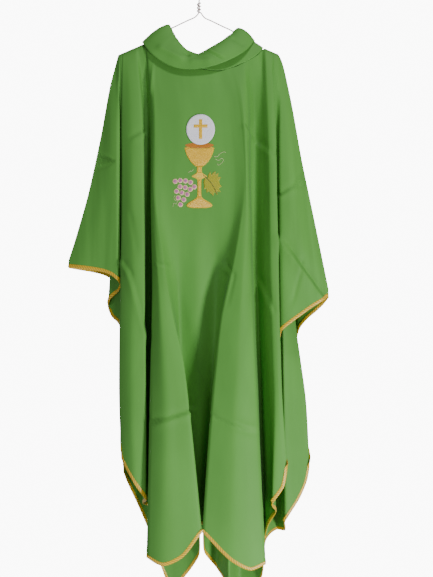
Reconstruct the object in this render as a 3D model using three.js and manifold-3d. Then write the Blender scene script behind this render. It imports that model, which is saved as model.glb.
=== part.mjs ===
// A Gothic chasuble in plain cloth with a roll collar, a gold bias binding round its hem and an embroidered
// chalice on the breast, hanging on a wire clothes hanger.
// Millimetres, +Z up, the wearer's front towards -Y. The origin is the seat of the hook on its rail.
// Heights on the garment are written as drops: distances down from the rail seat.

import * as THREE from "three";
import Module from "manifold-3d";
import { mergeVertices } from "three/addons/utils/BufferGeometryUtils.js";

const wasm = await Module();
wasm.setup();

// ---------- driving dimensions ----------
const HANGER_WIDTH = 401; // tip to tip, over the wire's centre line
const WIRE_D = 3.4; // wire with its plastic coat
const APEX_DROP = 95; // where the arms meet, below the rail seat
const ARM_BENDS = [[85, 136], [140, 176]]; // half width and drop where each arm steepens, then eases
const TIP_DROP = 202; // drop of the arm's end
const BAR_DROP = 222; // drop of the trouser bar
const TIP_RADIUS = 9; // bend at each end of the bar
const HOOK_RADIUS = 24; // hook's bend, to the wire's centre line
const HOOK_ARC = [195, -55]; // degrees round the hook's centre, from its free end to the straight neck
const TWIST_TOP = 62; // drop where the twisted neck ends
const TWIST_TURNS = 3;
const TWIST_GAP = 0.5; // between the straight neck and the end wound round it

const CLOTH = 1.4; // panel thickness
const SEAM_GAP = 0.6; // between the front and back panel along the shoulders
const SEAM_CLEARANCE = 5.3; // shoulder seam above the top of the wire
const BODY_LENGTH = 1248; // front panel, from the shoulder tips' level down to its lowest hem
// Sizes that the neck and fold lines are listed for.
const LISTED = { hangerWidth: 401, bodyLength: 1248, wireD: 3.4 };

const BINDING_WIDTH = 8;
const BOUND_THICKNESS = 2.2; // the cloth's edge with the binding folded round it
const BINDING_GAP = 0.8;
const COLLAR_GAP = 4; // collar's base above the neck edge of the panels
const COLLAR_STATIONS = 32;
const ROLL_LIFT = 6; // how far the folded band stands out at the roll, half way down and at its edge
const FALL_LIFT = 8;
const EDGE_LIFT = 1.5;

const THREAD_LAYER = 1.2; // thickness of one embroidered layer
const LAYER_GAP = 0.4;
const FOLD_CLEARANCE = 0.7; // under the lowest layer, where the cloth bulges between an outline's corners
const VEIN_THICKNESS = 0.8;
const MOTIF_CENTRE = [5, 393]; // x and drop of the host's centre
const HOST_RADII = [35, 38];
const GRAPE_RADIUS = 5.6;
const GRAPE_THICKNESS = 2;
const CUP_AXIS = -3; // x of the chalice's axis from the host's centre

const COLOURS = {
  cloth: [0x6f9d5a, 0.75],
  binding: [0xc79a3a, 0.45],
  wire: [0xe6d3cf, 0.35],
  host: [0xe4dcf2, 0.6],
  goldThread: [0xe0a951, 0.5],
  cupMouth: [0xc77c35, 0.55],
  grape: [0xa867b0, 0.55],
  leaf: [0x8f9a3c, 0.6],
  tendril: [0x8fb877, 0.6],
};

// ---------- helpers ----------
const garment = new THREE.Group();
const halfCloth = CLOTH / 2;
const seamY = halfCloth + SEAM_GAP / 2;
const bindingGap = (BINDING_GAP * BODY_LENGTH) / LISTED.bodyLength; // longer cloth hangs in steeper folds
const wireGrowth = (WIRE_D - LISTED.wireD) / 2; // how much further out the wire's surface is than listed

function add(name, geometry, finish) {
  const [color, roughness] = COLOURS[finish];
  const mesh = new THREE.Mesh(geometry, new THREE.MeshStandardMaterial({ color, roughness, metalness: 0 }));
  mesh.name = name;
  garment.add(mesh);
  return mesh;
}

function positionsOnly(geometry) {
  const bare = geometry.clone();
  bare.deleteAttribute("normal");
  bare.deleteAttribute("uv");
  return mergeVertices(bare, 1e-3);
}

function signedVolume(points, triangles) {
  let sum = 0;
  for (const [a, b, c] of triangles) {
    sum += points[a].dot(new THREE.Vector3().crossVectors(points[b], points[c])) / 6;
  }
  return sum;
}

// A closed geometry from points and triangles, turned so that its faces point out.
function closedGeometry(points, triangles) {
  const inward = signedVolume(points, triangles) < 0;
  const index = triangles.flatMap(([a, b, c]) => (inward ? [a, c, b] : [a, b, c]));
  const geometry = new THREE.BufferGeometry();
  const positions = points.flatMap((p) => [p.x, p.y, p.z]);
  geometry.setAttribute("position", new THREE.Float32BufferAttribute(positions, 3));
  geometry.setIndex(index);
  return geometry;
}

// Lofts a closed section round a ring of stations.
function ringLoft(sections) {
  const n = sections[0].length;
  const triangles = [];
  for (let s = 0; s < sections.length; s += 1) {
    const here = s * n;
    const next = ((s + 1) % sections.length) * n;
    for (let i = 0; i < n; i += 1) {
      const j = (i + 1) % n;
      triangles.push([here + i, here + j, next + i], [here + j, next + j, next + i]);
    }
  }
  return closedGeometry(sections.flat(), triangles);
}

const between = (a, b, t) => a + (b - a) * t;

// ---------- wire hanger ----------
const tipX = HANGER_WIDTH / 2;

// Drop of the arm's centre line at a distance from the middle.
function armDrop(x) {
  const away = Math.abs(x);
  const line = [[0, APEX_DROP], ...ARM_BENDS, [tipX, TIP_DROP]];
  const k = Math.max(1, line.findIndex(([lineX]) => lineX >= away));
  const [[x0, drop0], [x1, drop1]] = [line[k - 1], line[k]];
  return between(drop0, drop1, (away - x0) / (x1 - x0));
}

function wireTube(path, steps) {
  const circle = new THREE.Shape();
  circle.absarc(0, 0, WIRE_D / 2, 0, Math.PI * 2, false);
  const tube = new THREE.ExtrudeGeometry(circle, {
    steps,
    curveSegments: 4,
    bevelEnabled: false,
    extrudePath: path,
  });
  return positionsOnly(tube);
}

// One wire: hook, straight neck, left arm, bar, right arm, and the end wound round the neck.
function hangerPath() {
  const points = [];
  const hookZ = WIRE_D / 2 - HOOK_RADIUS;
  const hookSteps = 10;
  for (let k = 0; k <= hookSteps; k += 1) {
    const angle = THREE.MathUtils.degToRad(between(...HOOK_ARC, k / hookSteps));
    points.push(new THREE.Vector3(HOOK_RADIUS * Math.cos(angle), 0, hookZ + HOOK_RADIUS * Math.sin(angle)));
  }
  points.push(new THREE.Vector3(1, 0, -TWIST_TOP + 6));
  points.push(new THREE.Vector3(0, 0, -TWIST_TOP - 2));
  points.push(new THREE.Vector3(0, 0, -APEX_DROP + 8));
  for (const x of [-9, -30, -60, -85, -112, -140, -168, -tipX + TIP_RADIUS]) {
    points.push(new THREE.Vector3(x, 0, -armDrop(x)));
  }
  points.push(new THREE.Vector3(-tipX + 0.5, 0, -TIP_DROP - 2));
  points.push(new THREE.Vector3(-tipX + 2, 0, -between(TIP_DROP, BAR_DROP, 0.6)));
  for (const x of [-tipX + TIP_RADIUS + 4, -150, -75, 0, 75, 150, tipX - TIP_RADIUS - 4]) {
    points.push(new THREE.Vector3(x, 0, -BAR_DROP));
  }
  points.push(new THREE.Vector3(tipX - 2, 0, -between(TIP_DROP, BAR_DROP, 0.6)));
  points.push(new THREE.Vector3(tipX - 0.5, 0, -TIP_DROP - 2));
  for (const x of [tipX - TIP_RADIUS, 168, 140, 112, 85, 60, 30, 14]) {
    points.push(new THREE.Vector3(x, 0, -armDrop(x)));
  }
  const perTurn = 8;
  const windings = perTurn * TWIST_TURNS;
  const windR = WIRE_D + TWIST_GAP;
  for (let k = 0; k <= windings; k += 1) {
    const angle = (k / perTurn) * Math.PI * 2;
    const z = between(-APEX_DROP + 6, -TWIST_TOP - 3, k / windings);
    points.push(new THREE.Vector3(windR * Math.cos(angle), windR * Math.sin(angle), z));
  }
  return new THREE.CatmullRomCurve3(points, false, "centripetal");
}

add("hanger_wire", wireTube(hangerPath(), 150), "wire");

// ---------- neck ----------
// Stations round the neck from the left shoulder over the front to the right shoulder and back again.
// seam: where the collar is sewn to the panels; fall: the turned-down edge; roll: the folded inner edge.
// Each is [x, y, drop].
const NECK = {
  seam: [
    [-141, 0, 165], [-132, -12, 184], [-92, -20, 212], [-50, -27, 230],
    [0, -30, 238], [50, -27, 243], [95, -21, 229], [146, -11, 200],
    [163, 0, 179], [146, 11, 189], [95, 23, 204], [50, 32, 215],
    [0, 36, 219], [-50, 31, 212], [-92, 23, 197], [-130, 12, 181],
  ],
  fall: [
    [-146, 0, 160], [-122, -26, 197], [-84, -34, 227], [-47, -40, 241],
    [-5, -43, 243], [40, -42, 234], [89, -34, 212], [119, -23, 190],
    [140, 0, 161], [122, 24, 188], [88, 38, 206], [45, 48, 222],
    [0, 50, 226], [-45, 46, 219], [-84, 38, 206], [-120, 26, 188],
  ],
  roll: [
    [-76, 0, 122], [-64, -9, 147], [-52, -16, 166], [-32, -22, 190],
    [-2, -26, 203], [27, -24, 188], [57, -18, 168], [82, -8, 147],
    [97, 0, 131], [82, 8, 149], [57, 18, 167], [27, 24, 185],
    [0, 26, 197], [-32, 22, 186], [-52, 16, 167], [-64, 9, 150],
  ],
};
const NECK_FRONT = NECK.seam.slice(0, 9);
const NECK_BACK = [NECK.seam[0], ...NECK.seam.slice(8).reverse()];

function neckPoint(side, x) {
  const stations = side < 0 ? NECK_FRONT : NECK_BACK;
  for (let i = 1; i < stations.length; i += 1) {
    const [x0, y0, drop0] = stations[i - 1];
    const [x1, y1, drop1] = stations[i];
    if (x >= x0 && x <= x1) {
      const t = (x - x0) / (x1 - x0);
      const depth = Math.max(seamY, Math.abs(between(y0, y1, t)) + wireGrowth);
      return { depth, drop: between(drop0, drop1, t) - wireGrowth };
    }
  }
  return null;
}

// ---------- panels ----------
// The fold lines of each panel from the wearer's right wing tip to the left one, as the panel hangs.
// A line runs from the shoulder or neck down to the hem in points of [x, depth, drop]; depth is the distance
// from the hanger's plane. A line that starts with [x, depth] starts on the shoulder or neck seam.
const FRONT_FOLDS = [
  [[-328, 1, 712], [-329, 3, 730]],
  [[-312, 1, 662], [-298, 16, 733]],
  [[-279, 1, 546], [-273, 16, 663], [-267, 22, 737]],
  [[-247, 1, 400], [-240, 20, 563], [-236, 28, 743]],
  [[-224, 1, 274], [-219, 22, 439], [-216, 34, 751]],
  [[-209, 1, 217], [-204, 26, 439], [-201, 39, 763]],
  // tucked behind the wing
  [[-203, 4], [-197, 22, 438], [-195, 32, 775]],
  [[-201, 5], [-202, 17, 438], [-200, 24, 790]],
  [[-199, 6], [-207, 13, 437], [-221, 22, 810]],
  [[-198, 6], [-206, 11, 437], [-228, 15, 828]],
  [[-197, 6], [-201, 9, 437], [-219, 8, 854]],
  [[-195, 7], [-194, 9, 437], [-200, 8, 874]],
  [[-193, 7], [-188, 12, 437], [-186, 18, 813], [-187, 24, 1010]],
  // side panel
  [[-190, 8], [-191, 20, 338], [-190, 44, 689], [-194, 62, 1057], [-188, 70, 1197]],
  [[-178, 8], [-169, 30, 341], [-159, 62, 690], [-160, 86, 1054], [-154, 92, 1255]],
  [[-158, 8], [-142, 30, 341], [-133, 60, 690], [-127, 84, 1054], [-126, 86, 1295]],
  // groove
  [[-151, 7], [-139, 12, 337], [-134, 12, 688], [-133, 14, 1064], [-138, 29, 1318]],
  [[-143, 7], [-126, 10, 337], [-122, 8, 688], [-122, 8, 1064], [-117, 15, 1334]],
  // front fold
  [[-134, 9], [-120, 24, 341], [-118, 44, 567], [-113, 64, 763], [-115, 96, 1052], [-122, 114, 1424]],
  [[-130, 10], [-117, 32, 344], [-114, 54, 568], [-98, 86, 764], [-80, 118, 1049], [-82, 134, 1438]],
  [[-126, 11], [-113, 38, 344], [-110, 59, 568], [-86, 90, 775], [-59, 113, 1010], [-36, 132, 1419]],
  [
    [-121, 12], [-109, 41, 344], [-105, 61, 568], [-83, 82, 722], [-60, 94, 851], [-36, 104, 955],
    [-21, 114, 1074], [9, 122, 1362],
  ],
  [
    [-105, 17], [-92, 42, 343], [-86, 56, 567], [-66, 62, 740], [-55, 58, 850], [-47, 54, 960],
    [-34, 54, 1083], [-5, 58, 1376],
  ],
  // centre
  [[-65, 25], [-54, 44, 344], [-47, 54, 600], [-47, 44, 813], [-42, 32, 1086], [-22, 22, 1376]],
  [[-27, 30], [-12, 44, 344], [-5, 54, 600], [0, 50, 813], [2, 36, 1085], [7, 28, 1370]],
  [[12, 30], [30, 44, 344], [42, 53, 600], [42, 34, 813], [30, 22, 1087], [25, 18, 1378]],
  // front fold
  [[52, 27], [74, 43, 344], [87, 56, 568], [72, 58, 700], [60, 54, 812], [49, 52, 1058], [17, 56, 1377]],
  [
    [82, 23], [101, 47, 345], [112, 65, 545], [102, 74, 632], [88, 80, 710], [71, 86, 785], [55, 92, 850],
    [41, 99, 970], [31, 107, 1079], [11, 122, 1362],
  ],
  [[95, 21], [110, 50, 346], [117, 68, 569], [104, 96, 812], [88, 122, 1073], [78, 136, 1426]],
  [[104, 18], [116, 48, 345], [121, 66, 568], [117, 90, 812], [116, 116, 1075], [124, 130, 1450]],
  [[113, 16], [122, 42, 344], [125, 60, 568], [129, 80, 812], [141, 102, 1076], [160, 116, 1440]],
  // groove
  [[123, 14], [129, 18, 339], [132, 16, 564], [138, 16, 813], [150, 20, 1085], [160, 40, 1442]],
  [[133, 12], [140, 10, 337], [143, 8, 562], [148, 8, 813], [157, 8, 1089], [165, 14, 1410]],
  // side panel
  [[148, 8], [155, 14, 337], [160, 20, 563], [159, 26, 813], [163, 32, 1085], [173, 38, 1368]],
  [[157, 8], [163, 23, 338], [168, 34, 564], [168, 42, 812], [176, 50, 1083], [190, 58, 1330]],
  [[166, 8], [171, 32, 341], [175, 46, 566], [179, 58, 812], [184, 70, 1080], [178, 80, 1309]],
  [[173, 8], [181, 34, 341], [185, 48, 566], [190, 62, 840], [196, 74, 1080], [207, 78, 1266]],
  [[180, 8], [190, 32, 341], [194, 46, 566], [198, 60, 861], [206, 70, 1080], [217, 72, 1212]],
  [[185, 8], [188, 22, 338], [190, 32, 564], [193, 40, 863], [200, 44, 1172]],
  [[189, 7], [181, 15, 338], [178, 22, 564], [177, 26, 863], [176, 26, 1120]],
  // tucked behind the wing
  [[193, 7], [184, 9, 437], [182, 9, 813], [182, 9, 1040]],
  [[199, 6], [195, 9, 437], [199, 14, 813], [197, 17, 965]],
  [[208, 1, 210], [201, 22, 439], [205, 37, 888]],
  [[214, 1, 229], [222, 26, 489], [233, 36, 865]],
  [[234, 1, 322], [244, 24, 564], [261, 32, 845]],
  [[259, 1, 461], [286, 24, 828]],
  [[290, 1, 609], [308, 16, 815]],
  [[326, 1, 785], [326, 3, 803]],
];
const BACK_FOLDS = [
  [[-328, 1, 712], [-329, 3, 732]],
  [[-312, 1, 662], [-302, 14, 737]],
  [[-279, 1, 546], [-277, 16, 661], [-272, 20, 742]],
  [[-247, 1, 400], [-244, 20, 559], [-242, 26, 750]],
  [[-224, 1, 274], [-224, 22, 432], [-222, 30, 762]],
  [[-209, 1, 217], [-207, 20, 432], [-208, 30, 793]],
  // groove
  [[-202, 5], [-200, 12, 434], [-200, 14, 845]],
  [[-199, 6], [-192, 9, 434], [-188, 9, 813], [-186, 9, 935]],
  [[-196, 7], [-190, 18, 434], [-188, 28, 813], [-189, 34, 1090]],
  // side panel
  [[-192, 8], [-196, 30, 431], [-200, 54, 814], [-205, 66, 1074], [-198, 70, 1262]],
  [[-180, 7], [-175, 46, 428], [-170, 82, 814], [-171, 98, 1078], [-164, 106, 1355]],
  [[-159, 7], [-144, 50, 427], [-134, 90, 814], [-132, 108, 1080], [-138, 116, 1421]],
  // back fold
  [[-150, 8], [-132, 30, 427], [-121, 40, 814], [-118, 46, 1080], [-123, 54, 1462]],
  [[-139, 8], [-116, 62, 424], [-107, 102, 815], [-104, 122, 1082], [-108, 132, 1520]],
  [[-124, 14], [-96, 66, 424], [-83, 106, 815], [-78, 126, 1082], [-76, 138, 1590]],
  [[-109, 18], [-70, 60, 425], [-50, 96, 815], [-40, 112, 1080], [-32, 126, 1542]],
  [[-79, 26], [-39, 48, 428], [-18, 72, 814], [-10, 84, 1076], [-3, 100, 1490]],
  // centre
  [[-38, 33], [-13, 36, 430], [-3, 26, 814], [0, 22, 1068], [3, 20, 1401]],
  [[3, 36], [13, 36, 430], [13, 26, 814], [13, 22, 1068], [8, 20, 1399]],
  [[44, 33], [39, 50, 428], [26, 74, 814], [21, 86, 1077], [13, 100, 1482]],
  // back fold
  [[79, 26], [75, 62, 425], [61, 98, 815], [53, 114, 1080], [45, 126, 1530]],
  [[92, 23], [90, 34, 425], [81, 44, 815], [77, 50, 1081], [76, 60, 1556]],
  [[107, 20], [107, 66, 424], [103, 108, 815], [104, 128, 1082], [105, 138, 1599]],
  [[124, 15], [132, 50, 427], [144, 84, 814], [151, 102, 1079], [158, 116, 1567]],
  // groove
  [[136, 11], [144, 14, 433], [152, 10, 813], [159, 12, 1067], [172, 22, 1418]],
  [[154, 7], [175, 40, 429], [192, 64, 814], [201, 74, 1075], [202, 82, 1414]],
  [[165, 7], [187, 30, 431], [204, 42, 813], [211, 46, 1071], [221, 52, 1408]],
  // side panel
  [[169, 7], [196, 16, 433], [210, 13, 813], [214, 12, 1067], [218, 16, 1376]],
  [[178, 7], [206, 20, 432], [226, 24, 814], [242, 26, 1069], [256, 30, 1320]],
  [[184, 7], [214, 24, 431], [238, 32, 865], [262, 38, 1070], [277, 42, 1276]],
  [[188, 6], [220, 28, 431], [246, 40, 865], [274, 46, 1071], [284, 48, 1229]],
  [[192, 7], [217, 42, 428], [236, 60, 814], [256, 68, 1120]],
  [[198, 7], [209, 46, 428], [222, 68, 814], [228, 78, 1022]],
  [[208, 1, 210], [212, 50, 430], [248, 82, 946]],
  [[214, 1, 229], [230, 40, 482], [259, 60, 888]],
  [[234, 1, 322], [254, 30, 558], [278, 42, 861]],
  [[259, 1, 461], [298, 27, 842]],
  [[290, 1, 609], [315, 16, 824]],
  [[326, 1, 785], [327, 3, 806]],
];
// Rows of each panel, as shares of the way from its top seam down to the binding.
const ROWS = [0, 0.012, 0.035, 0.08, 0.17, 0.28, 0.4, 0.52, 0.65, 0.78, 0.9, 1];

const spread = (x) => (x * HANGER_WIDTH) / LISTED.hangerWidth;
const hang = (drop) =>
  drop <= TIP_DROP ? drop : TIP_DROP + ((drop - TIP_DROP) * BODY_LENGTH) / LISTED.bodyLength;

// One fold line as a curve in space. side is -1 for the front and 1 for the back.
function foldCurve(line, side) {
  const points = [];
  let rest = line;
  if (line[0].length === 2) {
    const [x, depth] = line[0];
    const neck = neckPoint(side, x);
    rest = line.slice(1);
    if (neck) {
      points.push(new THREE.Vector3(spread(x), side * neck.depth, -neck.drop));
    } else {
      const drop = armDrop(spread(x));
      points.push(new THREE.Vector3(spread(x), side * seamY, WIRE_D / 2 + SEAM_CLEARANCE - drop));
      points.push(new THREE.Vector3(spread(x), side * depth, -2 - drop));
    }
  }
  for (const [x, depth, drop] of rest) {
    points.push(new THREE.Vector3(spread(x), side * depth, -hang(drop)));
  }
  return new THREE.CatmullRomCurve3(points, false, "centripetal");
}

// The way up from the hem at each fold line: in the cloth and square to the hem.
function hemUps(curves) {
  const hem = curves.map((curve) => curve.points.at(-1));
  return curves.map((curve, c) => {
    const along = hem[Math.min(c + 1, hem.length - 1)].clone().sub(hem[Math.max(c - 1, 0)]).normalize();
    const up = curve.points.at(-2).clone().sub(hem[c]).normalize();
    return up.addScaledVector(along, -up.dot(along)).normalize();
  });
}

// The panel's middle surface, grid[row][column], ends where the binding starts; the bound edge goes on to
// the hem, with the panel's raw edge taken up inside it.
function panelGrids(folds, side) {
  const curves = folds.map((line) => foldCurve(line, side));
  const ups = hemUps(curves);
  const columns = curves.map((curve, c) => {
    const hem = curve.points.at(-1);
    const bound = hem.clone().addScaledVector(ups[c], BINDING_WIDTH);
    const line = new THREE.CatmullRomCurve3([...curve.points.slice(0, -1), bound], false, "centripetal");
    return ROWS.map((row) => line.getPointAt(row));
  });
  const hems = curves.map((curve) => curve.points.at(-1));
  const bindingTops = hems.map((hem, c) => hem.clone().addScaledVector(ups[c], BINDING_WIDTH - bindingGap));
  const panel = columns[0].map((_, row) => columns.map((column) => column[row]));
  const normals = gridNormals([...panel, hems]);
  return {
    panel,
    panelNormals: normals.slice(0, -1),
    binding: [bindingTops, hems],
    bindingNormals: normals.slice(-2),
  };
}

function gridNormals(grid) {
  return grid.map((row, r) =>
    row.map((_, c) => {
      const up = grid[Math.max(r - 1, 0)][c];
      const down = grid[Math.min(r + 1, grid.length - 1)][c];
      const left = row[Math.max(c - 1, 0)];
      const right = row[Math.min(c + 1, row.length - 1)];
      const along = new THREE.Vector3().subVectors(right, left).normalize();
      return new THREE.Vector3().subVectors(down, up).normalize().cross(along).normalize();
    }),
  );
}

function offsetGrid(grid, normals, distance) {
  return grid.map((row, r) => row.map((p, c) => p.clone().addScaledVector(normals[r][c], distance)));
}

// A closed sheet about its middle surface.
function sheetGeometry(grid, normals, thickness) {
  const rows = grid.length;
  const columns = grid[0].length;
  const points = [thickness / 2, -thickness / 2].flatMap((d) => offsetGrid(grid, normals, d).flat());
  const under = rows * columns;
  const at = (r, c) => r * columns + c;
  const triangles = [];
  const quad = (a, b, c, d) => triangles.push([a, b, c], [a, c, d]);
  for (let r = 0; r < rows - 1; r += 1) {
    for (let c = 0; c < columns - 1; c += 1) {
      quad(at(r, c), at(r + 1, c), at(r + 1, c + 1), at(r, c + 1));
      quad(under + at(r, c), under + at(r, c + 1), under + at(r + 1, c + 1), under + at(r + 1, c));
    }
  }
  for (let c = 0; c < columns - 1; c += 1) {
    quad(at(0, c), at(0, c + 1), under + at(0, c + 1), under + at(0, c));
    quad(at(rows - 1, c), under + at(rows - 1, c), under + at(rows - 1, c + 1), at(rows - 1, c + 1));
  }
  const end = columns - 1;
  for (let r = 0; r < rows - 1; r += 1) {
    quad(at(r + 1, 0), at(r, 0), under + at(r, 0), under + at(r + 1, 0));
    quad(at(r, end), at(r + 1, end), under + at(r + 1, end), under + at(r, end));
  }
  return closedGeometry(points, triangles);
}

const front = panelGrids(FRONT_FOLDS, -1);
const back = panelGrids(BACK_FOLDS, 1);
add("front_panel", sheetGeometry(front.panel, front.panelNormals, CLOTH), "cloth");
add("back_panel", sheetGeometry(back.panel, back.panelNormals, CLOTH), "cloth");
add("front_hem_binding", sheetGeometry(front.binding, front.bindingNormals, BOUND_THICKNESS), "binding");
add("back_hem_binding", sheetGeometry(back.binding, back.bindingNormals, BOUND_THICKNESS), "binding");

// ---------- roll collar ----------
// One band, sewn on at its base, standing up inside, folded over at the roll and falling outside.
function collarGrid() {
  const station = ([x, y, drop]) =>
    new THREE.Vector3(spread(x), y + Math.sign(y) * wireGrowth, wireGrowth - drop);
  const curveOf = (stations) => new THREE.CatmullRomCurve3(stations.map(station), true);
  const seam = curveOf(NECK.seam);
  const fall = curveOf(NECK.fall);
  const roll = curveOf(NECK.roll);
  const columns = [];
  for (let k = 0; k < COLLAR_STATIONS; k += 1) {
    const t = k / COLLAR_STATIONS;
    const base = seam.getPoint(t);
    const edge = fall.getPoint(t);
    const top = roll.getPoint(t);
    const tangent = roll.getTangent(t);
    const across = new THREE.Vector3().subVectors(edge, top).normalize();
    const out = new THREE.Vector3().crossVectors(across, tangent).normalize();
    const rise = new THREE.Vector3().subVectors(top, base).normalize();
    const mix = (a, b, s, lift) => a.clone().lerp(b, s).addScaledVector(out, lift);
    columns.push([
      base.clone().addScaledVector(rise, COLLAR_GAP),
      mix(base, top, 0.5, -0.5),
      mix(base, top, 0.93, -0.5),
      top.clone().addScaledVector(across, -2.5).addScaledVector(out, 2),
      mix(top, edge, 0.06, ROLL_LIFT),
      mix(top, edge, 0.5, FALL_LIFT),
      mix(top, edge, 1, EDGE_LIFT),
    ]);
  }
  return columns[0].map((_, row) => columns.map((column) => column[row]));
}

function collarGeometry() {
  const grid = collarGrid();
  const closed = grid.map((row) => [row.at(-1), ...row, row[0]]);
  const normals = gridNormals(closed).map((row) => row.slice(1, -1));
  const points = [halfCloth, -halfCloth].map((d) => offsetGrid(grid, normals, d));
  const columns = grid[0].length;
  const sections = [];
  for (let c = 0; c < columns; c += 1) {
    const outside = points[0].map((row) => row[c]);
    const inside = points[1].map((row) => row[c]).reverse();
    sections.push([...outside, ...inside]);
  }
  return ringLoft(sections);
}

add("collar", collarGeometry(), "cloth");

// ---------- embroidery ----------
// Depth of the front panel's middle surface at a place on the breast, between the inner edges of the two
// front folds.
const BREAST_FOLDS = [-134, 104];
const breastColumns = BREAST_FOLDS.map((x) => FRONT_FOLDS.findIndex(([[startX]]) => startX === x));

function frontDepth(x, z) {
  let depth = 0;
  for (let r = 1; r < front.panel.length - 1; r += 1) {
    for (let c = breastColumns[0]; c < breastColumns[1]; c += 1) {
      const [above, below] = [front.panel[r], front.panel[r + 1]];
      const corners = [above[c], below[c], below[c + 1], above[c + 1]];
      for (const [a, b, d] of [[0, 1, 2], [0, 2, 3]]) {
        const [p, q, s] = [corners[a], corners[b], corners[d]];
        const area = (q.x - p.x) * (s.z - p.z) - (s.x - p.x) * (q.z - p.z);
        const u = ((x - p.x) * (s.z - p.z) - (s.x - p.x) * (z - p.z)) / area;
        const v = ((q.x - p.x) * (z - p.z) - (x - p.x) * (q.z - p.z)) / area;
        if (u >= -1e-6 && v >= -1e-6 && u + v <= 1 + 1e-6) {
          depth = Math.max(depth, -(p.y + u * (q.y - p.y) + v * (s.y - p.y)));
        }
      }
    }
  }
  return depth;
}

// Lays a flat outline, drawn from the host's centre, on the breast as one embroidered layer.
function stitchedPatch(shape, layer, thickness = THREAD_LAYER) {
  const extrusion = { depth: thickness, bevelEnabled: false, curveSegments: 10 };
  const geometry = positionsOnly(new THREE.ExtrudeGeometry(shape, extrusion));
  const position = geometry.attributes.position;
  const lift = halfCloth + LAYER_GAP + FOLD_CLEARANCE + layer * (THREAD_LAYER + LAYER_GAP);
  for (let i = 0; i < position.count; i += 1) {
    const x = MOTIF_CENTRE[0] + position.getX(i);
    const z = -MOTIF_CENTRE[1] + position.getY(i);
    position.setXYZ(i, x, -(frontDepth(x, z) + lift + position.getZ(i)), z);
  }
  return geometry;
}

function ellipse(cx, cy, rx, ry) {
  const shape = new THREE.Shape();
  shape.absellipse(cx, cy, rx, ry, 0, Math.PI * 2, false, 0);
  return shape;
}

function polygon(points) {
  return new THREE.Shape(points.map(([x, y]) => new THREE.Vector2(x, y)));
}

// A shape that is the same on both sides of the chalice's axis, from its right-hand outline.
function turned(profile) {
  const right = profile.map(([half, y]) => [CUP_AXIS + half, y]);
  const left = profile.map(([half, y]) => [CUP_AXIS - half, y]).reverse();
  return polygon([...right, ...left]);
}

// A ribbon of even width along a smooth line.
function ribbon(points, width) {
  const stations = points.map(([x, y]) => new THREE.Vector3(x, y, 0));
  const curve = new THREE.CatmullRomCurve3(stations, false, "centripetal");
  const steps = points.length * 3;
  const left = [];
  const right = [];
  for (let k = 0; k <= steps; k += 1) {
    const p = curve.getPoint(k / steps);
    const t = curve.getTangent(k / steps);
    left.push([p.x - (t.y * width) / 2, p.y + (t.x * width) / 2]);
    right.push([p.x + (t.y * width) / 2, p.y - (t.x * width) / 2]);
  }
  return polygon([...left, ...right.reverse()]);
}

const [hostRx, hostRy] = HOST_RADII;
const rimY = -hostRy - 1;
add("host", stitchedPatch(ellipse(0, 0, hostRx, hostRy), 1), "host");
const bar = 4;
add(
  "host_cross",
  stitchedPatch(
    polygon([
      [-bar, -24], [bar, -24], [bar, 4], [17, 4], [17, 12], [bar, 12],
      [bar, 25], [-bar, 25], [-bar, 12], [-17, 12], [-17, 4], [-bar, 4],
    ]),
    2,
  ),
  "goldThread",
);
add("chalice_mouth", stitchedPatch(ellipse(CUP_AXIS, rimY, 35, 6.5), 0), "cupMouth");
const bowl = [[37.5, rimY], [36.5, -45], [34, -56], [29, -68], [22, -79], [14, -87], [9, -91]];
const bowlShape = polygon([
  ...[-30, -18, -6, 6, 18, 30].map((x) => [CUP_AXIS + x, rimY - 7.2 * Math.sqrt(1 - (x / 37.5) ** 2)]),
  ...bowl.slice(1).map(([half, y]) => [CUP_AXIS + half, y]),
  ...bowl.slice(1).reverse().map(([half, y]) => [CUP_AXIS - half, y]),
]);
add("chalice_bowl", stitchedPatch(bowlShape, 0), "goldThread");
add("chalice_upper_stem", stitchedPatch(turned([[6.5, -91.5], [6, -98], [6, -105.5]]), 0), "goldThread");
add(
  "chalice_knop",
  stitchedPatch(turned([[6, -106], [11, -110], [18.5, -114.5], [18.5, -117], [10, -120], [5, -123.5]]), 0),
  "goldThread",
);
const lowerStem = [[5, -124], [4.2, -140], [4.4, -160], [5.5, -165.5]];
add("chalice_lower_stem", stitchedPatch(turned(lowerStem), 0), "goldThread");
add(
  "chalice_foot",
  stitchedPatch(
    turned([[5.5, -166], [10, -171], [20, -176.5], [29, -182], [32, -187], [29, -191], [16, -193.5]]),
    0,
  ),
  "goldThread",
);

const GRAPES = [
  [-62.5, -128], [-50, -126], [-37, -127], [-24.5, -130.5], [-15.5, -141.5],
  [-50.5, -141], [-38, -143], [-25.5, -147.5], [-59, -152.5], [-46, -156],
  [-33, -160], [-55, -168.5], [-41.5, -173], [-49.5, -185],
];
GRAPES.forEach(([x, y], k) => {
  const name = `grape_${String(k + 1).padStart(2, "0")}`;
  add(name, stitchedPatch(ellipse(x, y, GRAPE_RADIUS, GRAPE_RADIUS), 1, GRAPE_THICKNESS), "grape");
});

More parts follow.
